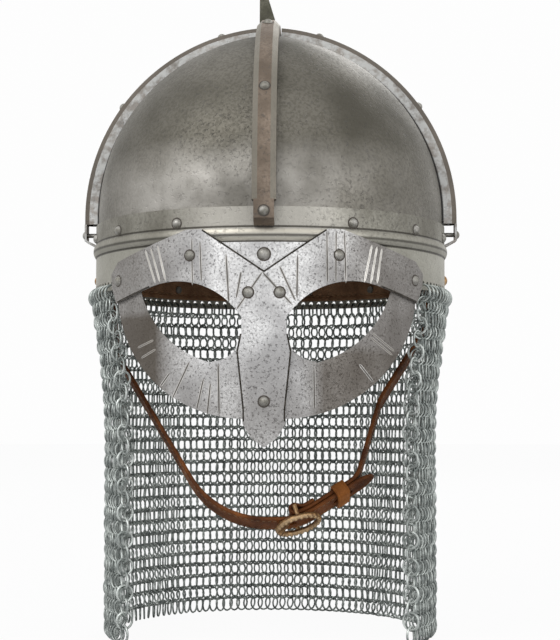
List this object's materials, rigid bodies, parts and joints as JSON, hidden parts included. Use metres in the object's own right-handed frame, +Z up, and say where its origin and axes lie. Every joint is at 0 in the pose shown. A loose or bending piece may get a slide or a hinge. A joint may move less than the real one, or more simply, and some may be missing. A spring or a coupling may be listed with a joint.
{
  "type": "viking helmet",
  "caption": "Ribbed steel helmet with a riveted spectacle mask, a mail curtain that hangs from its brow band, a leather liner and a buckled leather chin strap.",
  "frame": {"origin": "centre of the brow band at its lower rim, where the wearer's head goes in", "axes": "+Z up through the crown, -Y to the front where the mask is, +X to the wearer's left side"},
  "size_m": [0.228, 0.254, 0.3962],
  "materials": {
    "band_steel": "aged steel, dull satin with a brighter worn bead",
    "skull_steel": "aged steel with darker clouds",
    "inner_steel": "dark oiled steel",
    "rib_steel": "aged steel, brown in the hollows and bright on the chamfers",
    "mask_steel": "hammered steel, brighter than the skull, with graved lines",
    "rivet_steel": "worn domed rivet heads",
    "mail_steel": "zinc grey wire",
    "liner_leather": "undyed saddle leather, matt",
    "lace_leather": "dark leather lace",
    "strap_leather": "dark red-brown strap leather with grooved edges",
    "keeper_leather": "orange-brown leather loop",
    "buckle_brass": "antique brass, darkened in the hollows"
  },
  "bodies": {
    "helmet": {"brow_band": "band_steel", "brow_band_rivets": "rivet_steel", "skull_panel_front_left": "skull_steel", "skull_panel_front_right": "skull_steel", "skull_panel_rear_left": "skull_steel", "skull_panel_rear_right": "skull_steel", "inner_crest_band": "inner_steel", "inner_cross_band": "inner_steel", "crest_rib": "rib_steel", "cross_rib_left": "rib_steel", "cross_rib_right": "rib_steel", "crest_rib_rivets": "rivet_steel", "cross_rib_rivets": "rivet_steel", "crown_spike": "rib_steel", "brow_nasal_plate": "mask_steel", "cheek_crescent": "mask_steel", "nasal_backing_plate": "mask_steel", "mask_rivets": "rivet_steel", "liner_headband": "liner_leather", "liner_petals_front": "liner_leather", "liner_petals_rear": "liner_leather", "liner_lace": "lace_leather", "liner_rivets": "rivet_steel", "mail_hanger_rings": "mail_steel", "mail_corner_left": "mail_steel", "mail_corner_right": "mail_steel", "strap_pivot_rivets": "buckle_brass"},
    "mail_left_flap": {"mail_left": "mail_steel", "mail_edge_rings_left": "mail_steel"},
    "mail_right_flap": {"mail_right": "mail_steel", "mail_edge_rings_right": "mail_steel"},
    "mail_back_flap": {"mail_back": "mail_steel"},
    "chin_strap": {"chin_strap_long": "strap_leather", "chin_strap_short": "strap_leather", "strap_fold_rivet": "buckle_brass", "buckle_frame": "buckle_brass"},
    "prong": {"buckle_prong": "buckle_brass"},
    "keeper": {"strap_keeper": "keeper_leather"}
  },
  "joints": [
    {"name": "mail_right_swing", "type": "hinge", "parent": "helmet", "child": "mail_right_flap", "pos_m": [0.10289, -0.01493, -0.0016], "axis": [-0.1151, -0.9934, 0], "range_deg": [0, 60]},
    {"name": "mail_left_swing", "type": "hinge", "parent": "helmet", "child": "mail_left_flap", "pos_m": [-0.10289, -0.01493, -0.0016], "axis": [-0.1151, 0.9934, 0], "range_deg": [0, 60]},
    {"name": "mail_back_swing", "type": "hinge", "parent": "helmet", "child": "mail_back_flap", "pos_m": [0, 0.11675, -0.0016], "axis": [1, 0, 0], "range_deg": [0, 45]},
    {"name": "chin_strap_swing", "type": "hinge", "parent": "helmet", "child": "chin_strap", "pos_m": [0, 0, 0.01], "axis": [1, 0, 0], "range_deg": [-15, 35]},
    {"name": "prong_lift", "type": "hinge", "parent": "chin_strap", "child": "prong", "pos_m": [0.01551, -0.06038, -0.12561], "axis": [0, -0.9135, 0.4067], "range_deg": [0, 6]},
    {"name": "keeper_slide", "type": "slide", "parent": "chin_strap", "child": "keeper", "axis": [0.829, 0.2274, 0.5108], "range_m": [-0.009, 0.0025]}
  ]
}
